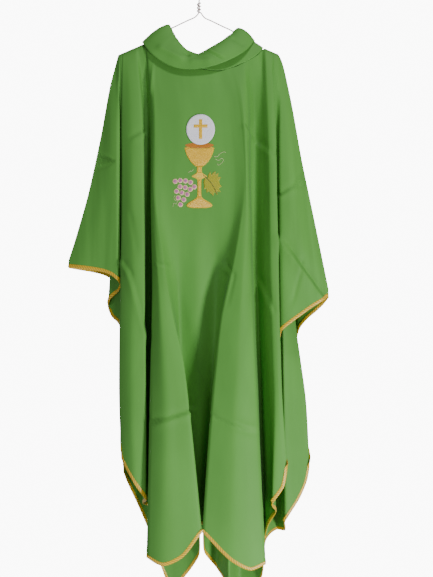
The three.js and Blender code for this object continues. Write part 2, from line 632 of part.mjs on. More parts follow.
// Vine leaf: five lobes about a point, the vein from the leaf's root to its tip.
const leafOutline = [
  [11, -117], [17, -121], [19, -111], [24, -104], [26, -112], [31, -106], [37, -103], [36, -111],
  [44, -107], [42, -116], [50, -118], [45, -127], [47, -135], [52, -140], [45, -146], [49, -154],
  [41, -153], [41, -161], [34, -154], [31, -165], [25, -158], [20, -152], [15, -156], [14, -146],
  [8, -148], [9, -138], [7, -130],
];
add("vine_leaf", stitchedPatch(polygon(leafOutline), 1), "leaf");
add(
  "leaf_vein",
  stitchedPatch(ribbon([[6, -112], [18, -123], [29, -137], [40, -158]], 2), 2, VEIN_THICKNESS),
  "tendril",
);
add(
  "tendril_upper",
  stitchedPatch(ribbon([[33, -67], [41, -67], [45, -62], [50, -58], [58, -55], [62, -57]], 2), 0),
  "tendril",
);
const middleTendril = [[36, -73], [45, -76], [51, -71], [56, -76], [50, -84], [44, -88], [40, -84]];
add("tendril_middle", stitchedPatch(ribbon(middleTendril, 1.8), 0), "tendril");
add(
  "tendril_knop",
  stitchedPatch(ribbon([[-30, -107], [-27, -103], [-22, -103], [-18, -98]], 1.8), 0),
  "tendril",
);
const lowerTendril = [
  [-62, -163], [-66, -167], [-63, -174], [-58, -176], [-60, -183], [-66, -182], [-68, -190],
];
add("tendril_lower", stitchedPatch(ribbon(lowerTendril, 1.8), 0), "tendril");

export default garment;
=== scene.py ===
# A green Gothic chasuble with a roll collar, a gold bound hem and an embroidered chalice,
# hanging in folds on a wire clothes hanger. Metres, +Z up, the wearer's front towards -Y.
import math

import bpy
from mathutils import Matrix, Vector, noise
from mathutils.bvhtree import BVHTree
from mathutils.geometry import delaunay_2d_cdt, intersect_point_line


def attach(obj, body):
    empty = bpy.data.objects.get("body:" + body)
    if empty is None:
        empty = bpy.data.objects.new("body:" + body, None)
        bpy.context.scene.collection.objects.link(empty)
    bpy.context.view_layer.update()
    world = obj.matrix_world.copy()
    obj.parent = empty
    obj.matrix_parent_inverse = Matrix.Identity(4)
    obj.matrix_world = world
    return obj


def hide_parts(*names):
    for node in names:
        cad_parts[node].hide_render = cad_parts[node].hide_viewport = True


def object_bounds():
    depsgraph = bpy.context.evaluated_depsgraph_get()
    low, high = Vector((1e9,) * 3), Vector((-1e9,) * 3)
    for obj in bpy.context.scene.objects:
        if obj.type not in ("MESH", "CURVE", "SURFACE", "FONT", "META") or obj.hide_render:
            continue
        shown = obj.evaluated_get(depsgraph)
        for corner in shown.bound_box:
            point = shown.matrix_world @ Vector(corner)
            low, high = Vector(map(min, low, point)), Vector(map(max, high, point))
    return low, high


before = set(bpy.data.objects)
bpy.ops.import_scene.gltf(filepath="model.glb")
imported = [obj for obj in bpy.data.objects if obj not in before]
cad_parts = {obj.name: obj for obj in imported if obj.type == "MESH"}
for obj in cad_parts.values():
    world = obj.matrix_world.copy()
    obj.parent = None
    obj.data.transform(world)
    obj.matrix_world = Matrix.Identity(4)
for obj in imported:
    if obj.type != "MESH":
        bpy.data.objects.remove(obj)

cad_low, cad_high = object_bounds()

# ---------- studio ----------
# A pale round floor under the hanging garment, a white room and four soft lights: a strong one low on
# the right, a small one high in front, a weak one low on the left and a wide one behind.
VIEW_FROM = (0.044, -2.1, -0.784)
LIGHTS_AIM = Vector((0, 0, -0.85))
FLOOR_RADIUS = 0.5
FLOOR_GAP = 0.2
DAYLIGHT = 0.19
WALL_BRIGHTNESS = 10
scene = bpy.context.scene

bpy.ops.object.select_all(action="DESELECT")
bpy.ops.object.camera_add(location=VIEW_FROM, rotation=(math.pi / 2, 0, 0))
camera = bpy.context.object
camera.data.lens = 52
camera.data.sensor_width = 36
scene.camera = camera

floor_place = (0, 0, cad_low.z - FLOOR_GAP)
bpy.ops.mesh.primitive_cylinder_add(vertices=96, radius=FLOOR_RADIUS, depth=0.02, location=floor_place)
floor = bpy.context.object
floor.name = "floor"
floor_paint = bpy.data.materials.new("pale_floor")
floor_paint.use_nodes = True
floor_shader = floor_paint.node_tree.nodes["Principled BSDF"]
floor_shader.inputs["Base Color"].default_value = (0.8, 0.8, 0.8, 1)
floor_shader.inputs["Roughness"].default_value = 0.9
floor.data.materials.append(floor_paint)


def soft_light(name, place, size, power):
    """A rectangular lamp turned towards the middle of the garment."""
    bpy.ops.object.light_add(type="AREA", location=place)
    light = bpy.context.object
    light.name = name
    light.data.shape = "RECTANGLE"
    light.data.size, light.data.size_y = size
    light.data.energy = power
    aim = LIGHTS_AIM - Vector(place)
    light.rotation_euler = aim.to_track_quat("-Z", "Y").to_euler()


soft_light("key_light", (1.5, -1.6, -1.8), (0.4, 0.5), 60)
soft_light("high_light", (0.45, -1.15, 1.1), (0.3, 0.25), 17)
soft_light("fill_light", (-1.2, -1.9, -1.8), (0.8, 0.8), 13)
soft_light("back_light", (-0.9, 2.4, -0.3), (1.4, 1.4), 75)

room = bpy.data.worlds.new("white_room")
scene.world = room
room.use_nodes = True
room_nodes = room.node_tree.nodes
room_links = room.node_tree.links
daylight = room_nodes["Background"]
daylight.inputs["Color"].default_value = (0.93, 0.97, 1, 1)
daylight.inputs["Strength"].default_value = DAYLIGHT
white_wall = room_nodes.new("ShaderNodeBackground")
white_wall.inputs["Color"].default_value = (1, 1, 1, 1)
white_wall.inputs["Strength"].default_value = WALL_BRIGHTNESS
seen = room_nodes.new("ShaderNodeLightPath")
room_mix = room_nodes.new("ShaderNodeMixShader")
room_links.new(seen.outputs["Is Camera Ray"], room_mix.inputs[0])
room_links.new(daylight.outputs[0], room_mix.inputs[1])
room_links.new(white_wall.outputs[0], room_mix.inputs[2])
room_links.new(room_mix.outputs[0], room_nodes["World Output"].inputs["Surface"])

# ---------- wire hanger ----------
# One length of steel wire in a pinkish white plastic coat: a hook, a neck, two arms and a bar, with
# the far end wound round the neck to close it.
MM = 0.001
HANGER_WIDTH = 401
WIRE_D = 3.4
APEX_DROP = 95
ARM_BENDS = [(85, 136), (140, 176)]
TIP_DROP = 202
BAR_DROP = 222
TIP_RADIUS = 9
HOOK_RADIUS = 24
HOOK_START = 195
HOOK_END = -55
HOOK_POINTS = 11
TWIST_TOP = 62
TWIST_TURNS = 3
TWIST_GAP = 0.5


def between(a, b, t):
    return a + (b - a) * t


def arm_drop(x):
    """How far the middle of the wire's arm lies below the rail seat at x."""
    line = [(0, APEX_DROP), *ARM_BENDS, (HANGER_WIDTH / 2, TIP_DROP)]
    for (x0, drop0), (x1, drop1) in zip(line, line[1:]):
        if abs(x) <= x1 or x1 == line[-1][0]:
            return between(drop0, drop1, (abs(x) - x0) / (x1 - x0))


def smooth_line(points, closed=False):
    """Returns the point at t, from 0 to 1, of a smooth line through points."""
    count = len(points)
    spans = count if closed else count - 1

    def at(t):
        place = min(max(t, 0), 1) * spans
        i = min(int(place), spans - 1)
        w = place - i
        p1, p2 = points[i], points[(i + 1) % count]
        p0 = points[i - 1] if i > 0 or closed else p1 * 2 - p2
        p3 = points[(i + 2) % count] if i + 2 < count or closed else p2 * 2 - p1
        d0, d1, d2 = (max((b - a).length, 1e-9) ** 0.5 for a, b in ((p0, p1), (p1, p2), (p2, p3)))
        m1 = ((p1 - p0) / d0 - (p2 - p0) / (d0 + d1) + (p2 - p1) / d1) * d1
        m2 = ((p2 - p1) / d1 - (p3 - p1) / (d1 + d2) + (p3 - p2) / d2) * d1
        a = p1 * 2 - p2 * 2 + m1 + m2
        b = p2 * 3 - p1 * 3 - m1 * 2 - m2
        return a * w**3 + b * w**2 + m1 * w + p1

    return at


tip_x = HANGER_WIDTH / 2
hook_z = WIRE_D / 2 - HOOK_RADIUS
wire_line = []
for k in range(HOOK_POINTS):
    turn = math.radians(between(HOOK_START, HOOK_END, k / (HOOK_POINTS - 1)))
    wire_line.append(Vector((HOOK_RADIUS * math.cos(turn), 0, hook_z + HOOK_RADIUS * math.sin(turn))))
wire_line += [Vector((1, 0, 6 - TWIST_TOP)), Vector((0, 0, -2 - TWIST_TOP)), Vector((0, 0, 8 - APEX_DROP))]
for x in (-9, -30, -60, -85, -112, -140, -168, TIP_RADIUS - tip_x):
    wire_line.append(Vector((x, 0, -arm_drop(x))))
low_tip = between(TIP_DROP, BAR_DROP, 0.6)
wire_line += [Vector((0.5 - tip_x, 0, -2 - TIP_DROP)), Vector((2 - tip_x, 0, -low_tip))]
for x in (TIP_RADIUS + 4 - tip_x, -150, -75, 0, 75, 150, tip_x - TIP_RADIUS - 4):
    wire_line.append(Vector((x, 0, -BAR_DROP)))
wire_line += [Vector((tip_x - 2, 0, -low_tip)), Vector((tip_x - 0.5, 0, -2 - TIP_DROP))]
for x in (tip_x - TIP_RADIUS, 168, 140, 112, 85, 60, 30, 14):
    wire_line.append(Vector((x, 0, -arm_drop(x))))
twist_radius = WIRE_D + TWIST_GAP
twist_steps = 8 * TWIST_TURNS
for k in range(twist_steps + 1):
    turn = k / 8 * math.tau
    z = between(6 - APEX_DROP, -3 - TWIST_TOP, k / twist_steps)
    wire_line.append(Vector((twist_radius * math.cos(turn), twist_radius * math.sin(turn), z)))

wire_at = smooth_line([p * MM for p in wire_line])
wire_steps = 12 * len(wire_line)
bpy.ops.object.select_all(action="DESELECT")
bpy.ops.curve.primitive_nurbs_path_add()
wire = bpy.context.object
wire.name = "coated_wire"
wire.data.splines.clear()
strand = wire.data.splines.new("POLY")
strand.points.add(wire_steps)
for k in range(wire_steps + 1):
    strand.points[k].co = (*wire_at(k / wire_steps), 1)
wire.data.dimensions = "3D"
wire.data.bevel_depth = WIRE_D / 2 * MM
wire.data.bevel_resolution = 4
wire.data.use_fill_caps = True
bpy.ops.object.convert(target="MESH")
wire = bpy.context.object
bpy.ops.object.transform_apply(location=True, rotation=True, scale=True)
bpy.ops.object.shade_smooth_by_angle(angle=math.radians(40))


def new_material(name, colour, roughness):
    """A node material, with its nodes, its links and its main shader."""
    material = bpy.data.materials.new(name)
    material.use_nodes = True
    nodes = material.node_tree.nodes
    shader = nodes["Principled BSDF"]
    shader.inputs["Base Color"].default_value = (*colour, 1)
    shader.inputs["Roughness"].default_value = roughness
    return material, nodes, material.node_tree.links, shader


def two_tones(nodes, dark, light, dark_at, light_at):
    """A ramp from a dark tone to a light one."""
    tone = nodes.new("ShaderNodeValToRGB")
    tone.color_ramp.elements[0].position = dark_at
    tone.color_ramp.elements[0].color = (*dark, 1)
    tone.color_ramp.elements[1].position = light_at
    tone.color_ramp.elements[1].color = (*light, 1)
    return tone


coat, nodes, links, shader = new_material("plastic_coat", (0.5, 0.36, 0.34), 0.35)
place = nodes.new("ShaderNodeTexCoord")
scuffs = nodes.new("ShaderNodeTexNoise")
scuffs.inputs["Scale"].default_value = 180
scuffs.inputs["Detail"].default_value = 5
tone = two_tones(nodes, (0.36, 0.24, 0.23), (0.55, 0.42, 0.4), 0.3, 0.62)
wear = nodes.new("ShaderNodeMapRange")
wear.inputs["To Min"].default_value = 0.28
wear.inputs["To Max"].default_value = 0.5
links.new(place.outputs["Object"], scuffs.inputs["Vector"])
links.new(scuffs.outputs["Fac"], tone.inputs["Fac"])
links.new(tone.outputs["Color"], shader.inputs["Base Color"])
links.new(scuffs.outputs["Fac"], wear.inputs["Value"])
links.new(wear.outputs["Result"], shader.inputs["Roughness"])
wire.data.materials.append(coat)
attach(wire, "hanger")
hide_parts("hanger_wire")

# ---------- front panel ----------
# The front of the garment, one cut of plain polyester. It is caught along the neck and over the
# hanger's arms, and falls in pipes with deep grooves between them.
CLOTH = 1.1
SEAM_Y = CLOTH / 2
SEAM_LIFT = 7
PANEL_ROWS = 220
ROW_CROWDING = 1.15
COLUMN_WIDTH = 0.01
# The panels' neck edge, where the collar is sewn on: (x, y, drop) from the left shoulder over the front
# to the right shoulder, and behind the neck back to the left.
NECK_SEAM = [
    (-141, 0, 165), (-132, -12, 184), (-92, -20, 212), (-50, -27, 230),
    (0, -30, 238), (50, -27, 243), (95, -21, 229), (146, -11, 200),
    (163, 0, 179), (146, 11, 189), (95, 23, 204), (50, 32, 215),
    (0, 36, 219), (-50, 31, 212), (-92, 23, 197), (-130, 12, 181),
]
# Fold lines from the left wing's tip to the right one's: how crisp the fold is, then its points from
# the top down as (x, depth, drop). Depth is the distance from the hanger's plane. A line that starts
# with (x, depth) starts on the neck or shoulder seam, and any other on the seam over the arm and wing.
FRONT_FOLDS = [
    (0.25, [(-328, SEAM_Y, 712), (-329, 3, 730)]),
    (0.25, [(-312, SEAM_Y, 662), (-298, 16, 733)]),
    (0.25, [(-279, SEAM_Y, 546), (-273, 16, 663), (-267, 22, 737)]),
    (0.25, [(-247, SEAM_Y, 400), (-240, 20, 563), (-236, 28, 743)]),
    (0.25, [(-224, SEAM_Y, 274), (-219, 22, 439), (-216, 34, 751)]),
    (0.70, [(-209, SEAM_Y, 217), (-204, 26, 439), (-201, 39, 763)]),
    # tucked behind the wing
    (0.60, [(-203, 4), (-197, 22, 438), (-195, 32, 775)]),
    (0.25, [(-201, 5), (-202, 17, 438), (-200, 24, 790)]),
    (0.25, [(-199, 6), (-207, 13, 437), (-221, 22, 810)]),
    (0.25, [(-198, 6), (-206, 11, 437), (-228, 15, 828)]),
    (0.25, [(-197, 6), (-201, 9, 437), (-219, 8, 854)]),
    (0.25, [(-195, 7), (-194, 9, 437), (-200, 8, 874)]),
    (0.25, [(-193, 7), (-188, 12, 437), (-186, 18, 813), (-187, 24, 1010)]),
    # side panel
    (0.50, [(-190, 8), (-191, 20, 338), (-190, 44, 689), (-194, 62, 1057), (-188, 70, 1197)]),
    (0.25, [(-178, 8), (-169, 30, 341), (-159, 62, 690), (-160, 86, 1054), (-154, 92, 1255)]),
    (0.75, [(-158, 8), (-142, 30, 341), (-133, 60, 690), (-127, 84, 1054), (-126, 86, 1295)]),
    # groove
    (0.60, [(-151, 7), (-139, 12, 337), (-134, 12, 688), (-133, 14, 1064), (-138, 29, 1318)]),
    (0.25, [(-143, 7), (-126, 10, 337), (-122, 8, 688), (-122, 8, 1064), (-117, 15, 1334)]),
    # front fold
    (0.75, [
        (-134, 9), (-120, 24, 341), (-118, 44, 567),
        (-113, 64, 763), (-115, 96, 1052), (-122, 114, 1424),
    ]),
    (0.20, [
        (-130, 10), (-117, 32, 344), (-114, 54, 568),
        (-98, 86, 764), (-80, 118, 1049), (-82, 134, 1438),
    ]),
    (0.20, [
        (-126, 11), (-113, 38, 344), (-110, 59, 568),
        (-86, 90, 775), (-59, 113, 1010), (-36, 132, 1419),
    ]),
    (0.85, [
        (-121, 12), (-109, 41, 344), (-105, 61, 568), (-83, 82, 722),
        (-60, 94, 851), (-36, 104, 955), (-21, 114, 1074), (9, 122, 1362),
    ]),
    (0.50, [
        (-105, 17), (-92, 42, 343), (-86, 56, 567), (-66, 62, 740),
        (-55, 58, 850), (-47, 54, 960), (-34, 54, 1083), (-5, 58, 1376),
    ]),
    # centre
    (0.25, [
        (-65, 25), (-54, 44, 344), (-47, 54, 600),
        (-47, 44, 813), (-42, 32, 1086), (-22, 22, 1376),
    ]),
    (0.25, [(-27, 30), (-12, 44, 344), (-5, 54, 600), (0, 50, 813), (2, 36, 1085), (7, 28, 1370)]),
    (0.25, [(12, 30), (30, 44, 344), (42, 53, 600), (42, 34, 813), (30, 22, 1087), (25, 18, 1378)]),
    # front fold
    (0.40, [
        (52, 27), (74, 43, 344), (87, 56, 568), (72, 58, 700),
        (60, 54, 812), (49, 52, 1058), (17, 56, 1377),
    ]),
    (0.90, [
        (82, 23), (101, 47, 345), (112, 65, 545), (102, 74, 632), (88, 80, 710),
        (71, 86, 785), (55, 92, 850), (41, 99, 970), (31, 107, 1079), (11, 122, 1362),
    ]),
    (0.25, [
        (95, 21), (110, 50, 346), (117, 68, 569),
        (104, 96, 812), (88, 122, 1073), (78, 136, 1426),
    ]),
    (0.25, [
        (104, 18), (116, 48, 345), (121, 66, 568),
        (117, 90, 812), (116, 116, 1075), (124, 130, 1450),
    ]),
    (0.85, [
        (113, 16), (122, 42, 344), (125, 60, 568),
        (129, 80, 812), (141, 102, 1076), (160, 116, 1440),
    ]),
    # groove
    (0.60, [
        (123, 14), (129, 18, 339), (132, 16, 564),
        (138, 16, 813), (150, 20, 1085), (160, 40, 1442),
    ]),
    (0.25, [(133, 12), (140, 10, 337), (143, 8, 562), (148, 8, 813), (157, 8, 1089), (165, 14, 1410)]),
    # side panel
    (0.25, [
        (148, 8), (155, 14, 337), (160, 20, 563),
        (159, 26, 813), (163, 32, 1085), (173, 38, 1368),
    ]),
    (0.25, [
        (157, 8), (163, 23, 338), (168, 34, 564),
        (168, 42, 812), (176, 50, 1083), (190, 58, 1330),
    ]),
    (0.25, [
        (166, 8), (171, 32, 341), (175, 46, 566),
        (179, 58, 812), (184, 70, 1080), (178, 80, 1309),
    ]),
    (0.25, [
        (173, 8), (181, 34, 341), (185, 48, 566),
        (190, 62, 840), (196, 74, 1080), (207, 78, 1266),
    ]),
    (0.75, [
        (180, 8), (190, 32, 341), (194, 46, 566),
        (198, 60, 861), (206, 70, 1080), (217, 72, 1212),
    ]),
    (0.25, [(185, 8), (188, 22, 338), (190, 32, 564), (193, 40, 863), (200, 44, 1172)]),
    (0.25, [(189, 7), (181, 15, 338), (178, 22, 564), (177, 26, 863), (176, 26, 1120)]),
    # tucked behind the wing
    (0.25, [(193, 7), (184, 9, 437), (182, 9, 813), (182, 9, 1040)]),
    (0.25, [(199, 6), (195, 9, 437), (199, 14, 813), (197, 17, 965)]),
    (0.60, [(208, SEAM_Y, 210), (201, 22, 439), (205, 37, 888)]),
    (0.70, [(214, SEAM_Y, 229), (222, 26, 489), (233, 36, 865)]),
    (0.25, [(234, SEAM_Y, 322), (244, 24, 564), (261, 32, 845)]),
    (0.25, [(259, SEAM_Y, 461), (286, 24, 828)]),
    (0.25, [(290, SEAM_Y, 609), (308, 16, 815)]),
    (0.25, [(326, SEAM_Y, 785), (326, 3, 803)]),
]


def spread_points(line, shares):
    """The points at the given shares of the length of a smooth line through points."""
    at = smooth_line(line)
    steps = 24 * len(line)
    trail = [at(k / steps) for k in range(steps + 1)]
    run = [0.0]
    for a, b in zip(trail, trail[1:]):
        run.append(run[-1] + (b - a).length)
    found = []
    k = 0
    for share in shares:
        goal = share * run[-1]
        while k < len(run) - 2 and run[k + 1] < goal:
            k += 1
        w = (goal - run[k]) / max(run[k + 1] - run[k], 1e-12)
        found.append(trail[k].lerp(trail[k + 1], w))
    return found


def neck_edge(side, x):
    """Depth and drop of the neck's edge at x, or nothing beside the neck."""
    stations = NECK_SEAM[:9] if side < 0 else [NECK_SEAM[0], *reversed(NECK_SEAM[8:])]
    for (x0, y0, drop0), (x1, y1, drop1) in zip(stations, stations[1:]):
        if x0 <= x <= x1:
            t = (x - x0) / (x1 - x0)
            return max(SEAM_Y, abs(between(y0, y1, t))), between(drop0, drop1, t)
    return None


def fold_line(points, side):
    """One fold line in space, in metres."""
    line = []
    if len(points[0]) == 2:
        (x, depth), *points = points
        neck = neck_edge(side, x)
        if neck:
            line.append(Vector((x, side * neck[0], -neck[1])))
        else:
            line.append(Vector((x, side * SEAM_Y, SEAM_LIFT - arm_drop(x))))
            line.append(Vector((x, side * depth, -2 - arm_drop(x))))
    line += [Vector((x, side * depth, -drop)) for x, depth, drop in points]
    return [p * MM for p in line]


def across(row, crisp, splits):
    """Fills a row of fold-line points: the cloth turns smoothly at soft folds and tightly at crisp ones."""
    filled = []
    last = len(row) - 1
    for i in range(last):
        p0 = row[i - 1] if i else row[0] * 2 - row[1]
        p1, p2 = row[i], row[i + 1]
        p3 = row[i + 2] if i < last - 1 else p2 * 2 - p1
        d0, d1, d2 = (max((b - a).length, 1e-6) ** 0.5 for a, b in ((p0, p1), (p1, p2), (p2, p3)))
        m1 = ((p1 - p0) / d0 - (p2 - p0) / (d0 + d1) + (p2 - p1) / d1) * d1
        m2 = ((p2 - p1) / d1 - (p3 - p1) / (d1 + d2) + (p3 - p2) / d2) * d1
        m1 = m1.lerp(p2 - p1, crisp[i])
        m2 = m2.lerp(p2 - p1, crisp[i + 1])
        a = (p1 - p2) * 2 + m1 + m2
        b = (p2 - p1) * 3 - m1 * 2 - m2
        for k in range(splits[i]):
            w = k / splits[i]
            filled.append(a * w**3 + b * w**2 + m1 * w + p1)
    filled.append(row[-1])
    return filled


def hanging_panel(folds, side):
    """The panel's middle surface as rows of points, closer together near the seam than at the hem."""
    shares = [(n / (PANEL_ROWS - 1)) ** ROW_CROWDING for n in range(PANEL_ROWS)]
    columns = [spread_points(fold_line(points, side), shares) for _, points in folds]
    crisp = [c for c, _ in folds]
    rows = list(zip(*columns))
    splits = []
    for i in range(len(folds) - 1):
        widest = max((row[i + 1] - row[i]).length for row in rows)
        splits.append(max(3, min(9, round(widest / COLUMN_WIDTH))))
    return [across(list(row), crisp, splits) for row in rows]


def face_normals(rows, side):
    """The way out of the cloth at each point of its rows."""
    normals = []
    for r, row in enumerate(rows):
        up, down = rows[max(r - 1, 0)], rows[min(r + 1, len(rows) - 1)]
        line = []
        for c in range(len(row)):
            along = row[min(c + 1, len(row) - 1)] - row[max(c - 1, 0)]
            line.append(((down[c] - up[c]).cross(along) * side).normalized())
        normals.append(line)
    return normals


def smooth_step(a, b, x):
    """Rises softly from 0 at a to 1 at b."""
    t = min(max((x - a) / (b - a), 0), 1)
    return t * t * (3 - 2 * t)


def crease_height(x, z, crease):
    """Height in millimetres at x, z of a crease from a to b: a rounded ridge, or a step up or down."""
    kind, a, b, height, width = crease
    a, b, p = Vector(a), Vector(b), Vector((x, z))
    near, t = intersect_point_line(p, a, b)
    away = (b - a).normalized().cross(p - near)
    ends = smooth_step(-0.15, 0.12, t) * (1 - smooth_step(0.88, 1.15, t))
    if kind == "ridge":
        return height * math.exp(-((away / width) ** 2)) * ends
    return height * (smooth_step(-width, width, away) - 0.5) * math.exp(-((away / (3 * width)) ** 2)) * ends


SLOW_WAVE = 1.9
FINE_WAVE = 0.55
CREASE_REACH = 60


def reaches(crease, z):
    """Whether a crease comes near height z."""
    low, high = sorted((crease[1][1], crease[2][1]))
    return low - CREASE_REACH < z < high + CREASE_REACH


def rumpled(rows, side, creases, seed):
    """Moves each point along its normal by the creases and by the soft, uneven hang of the cloth."""
    normals = face_normals(rows, side)
    moved = []
    for r, row in enumerate(rows):
        line = []
        free = smooth_step(0, 20, r)
        for c, p in enumerate(row):
            x, z = p.x / MM, p.z / MM
            lift = sum(crease_height(x, z, crease) for crease in creases if reaches(crease, z))
            lift += SLOW_WAVE * noise.noise(Vector((p.x * 9 + seed, p.y * 4, p.z * 3.2)))
            lift += FINE_WAVE * noise.noise(Vector((p.x * 30, p.y * 12 + seed, p.z * 11)))
            line.append(p + normals[r][c] * (lift * free * MM))
        moved.append(line)
    return moved


def scene_object(name, mesh):
    """Puts a mesh in the scene as the one selected and active object."""
    obj = bpy.data.objects.new(name, mesh)
    scene.collection.objects.link(obj)
    bpy.ops.object.select_all(action="DESELECT")
    obj.select_set(True)
    bpy.context.view_layer.objects.active = obj
    return obj


def sheet_object(name, rows, side):
    """A sheet of cloth of even thickness about rows of points, with its flat size in metres as its UV map."""
    width = len(rows[0])
    mesh = bpy.data.meshes.new(name)
    faces = []
    for r in range(len(rows) - 1):
        for c in range(width - 1):
            a = r * width + c
            quad = (a, a + width, a + width + 1, a + 1)
            faces.append(quad if side < 0 else quad[::-1])
    mesh.from_pydata([p for row in rows for p in row], [], faces)
    span = [0.0]
    for c in range(width - 1):
        span.append(span[-1] + sum((row[c + 1] - row[c]).length for row in rows) / len(rows))
    drop = [[0.0] * width]
    for upper, lower in zip(rows, rows[1:]):
        drop.append([drop[-1][c] + (lower[c] - upper[c]).length for c in range(width)])
    layer = mesh.uv_layers.new(name="flat_metres")
    for loop in mesh.loops:
        r, c = divmod(loop.vertex_index, width)
        layer.data[loop.index].uv = (span[c], -drop[r][c])
    obj = scene_object(name, mesh)
    wall = obj.modifiers.new("thickness", "SOLIDIFY")
    wall.thickness = CLOTH * MM
    wall.offset = 0
    bpy.ops.object.modifier_apply(modifier=wall.name)
    bpy.ops.object.shade_smooth()
    return obj


def add_bump(nodes, links, shader, height, strength, distance):
    """Raises the surface where the height is high."""
    bump = nodes.new("ShaderNodeBump")
    bump.inputs["Strength"].default_value = strength
    bump.inputs["Distance"].default_value = distance
    links.new(height, bump.inputs["Height"])
    links.new(bump.outputs["Normal"], shader.inputs["Normal"])


def woven_polyester(name, dark, light):
    """Plain woven cloth: two crossed sets of fine yarns, with slow changes of tone along them."""
    material, nodes, links, shader = new_material(name, light, 0.68)
    shader.inputs["Sheen Weight"].default_value = 0.04
    shader.inputs["Sheen Roughness"].default_value = 0.45
    shader.inputs["Specular IOR Level"].default_value = 0.35
    flat = nodes.new("ShaderNodeUVMap")
    flat.uv_map = "flat_metres"
    yarns = []
    for direction in ("X", "Y"):
        yarn = nodes.new("ShaderNodeTexWave")
        yarn.bands_direction = direction
        yarn.inputs["Scale"].default_value = YARNS
        yarn.inputs["Distortion"].default_value = 0.6
        yarn.inputs["Detail"].default_value = 1
        links.new(flat.outputs["UV"], yarn.inputs["Vector"])
        yarns.append(yarn)
    cross = nodes.new("ShaderNodeMath")
    cross.operation = "MULTIPLY"
    links.new(yarns[0].outputs["Fac"], cross.inputs[0])
    links.new(yarns[1].outputs["Fac"], cross.inputs[1])
    slubs = nodes.new("ShaderNodeTexNoise")
    slubs.inputs["Scale"].default_value = 14
    slubs.inputs["Detail"].default_value = 3
    stretch = nodes.new("ShaderNodeMapping")
    stretch.inputs["Scale"].default_value = (1, 0.25, 1)
    links.new(flat.outputs["UV"], stretch.inputs["Vector"])
    links.new(stretch.outputs["Vector"], slubs.inputs["Vector"])
    blend = nodes.new("ShaderNodeMath")
    blend.operation = "MULTIPLY_ADD"
    blend.inputs[1].default_value = 0.18
    links.new(cross.outputs["Value"], blend.inputs[0])
    links.new(slubs.outputs["Fac"], blend.inputs[2])
    tone = two_tones(nodes, dark, light, 0.3, 0.85)
    links.new(blend.outputs["Value"], tone.inputs["Fac"])
    links.new(tone.outputs["Color"], shader.inputs["Base Color"])
    add_bump(nodes, links, shader, blend.outputs["Value"], 0.15, 0.0002)
    return material


YARNS = 280
green_cloth = woven_polyester("green_polyester", (0.078, 0.265, 0.036), (0.106, 0.345, 0.052))

# Pressed creases, each (kind, from, to, height, width) with its places as (x, z).
FRONT_CREASES = [
    ("ridge", (-130, -197), (-134, -264), 2.6, 4),
    ("ridge", (-112, -205), (-119, -300), -2.2, 4),
    ("ridge", (-257, -465), (-212, -468), 3.4, 4),
    ("step", (-166, -414), (-134, -394), 5.0, 4),
    ("ridge", (-18, -262), (42, -266), -1.6, 5),
    ("step", (200, -554), (268, -510), 5.0, 4),
    ("step", (112, -380), (152, -426), 4.6, 4),
    ("step", (150, -424), (186, -456), 4.2, 4),
    ("step", (-190, -716), (-166, -752), 5.5, 4),
    ("step", (-168, -748), (-122, -912), 5.0, 4),
    ("ridge", (-106, -722), (-70, -730), -2.4, 4),
    ("step", (-112, -1106), (-18, -1078), 6.5, 4),
    ("step", (36, -1086), (134, -1124), -6.5, 4),
    ("ridge", (66, -716), (84, -750), 3.0, 4),
    ("ridge", (60, -738), (80, -744), -2.6, 4),
    ("ridge", (88, -748), (70, -820), 2.2, 4),
    ("step", (152, -762), (182, -838), 5.0, 4),
    ("ridge", (-166, -600), (-152, -690), 1.8, 5),
    ("ridge", (232, -820), (262, -706), 1.8, 5),
    ("step", (206, -662), (312, -806), 13.0, 7),
]
front_rows = rumpled(hanging_panel(FRONT_FOLDS, -1), -1, FRONT_CREASES, 3)
front_cloth = sheet_object("front_cloth", front_rows, -1)
front_cloth.data.materials.append(green_cloth)
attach(front_cloth, "garment")
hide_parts("front_panel")

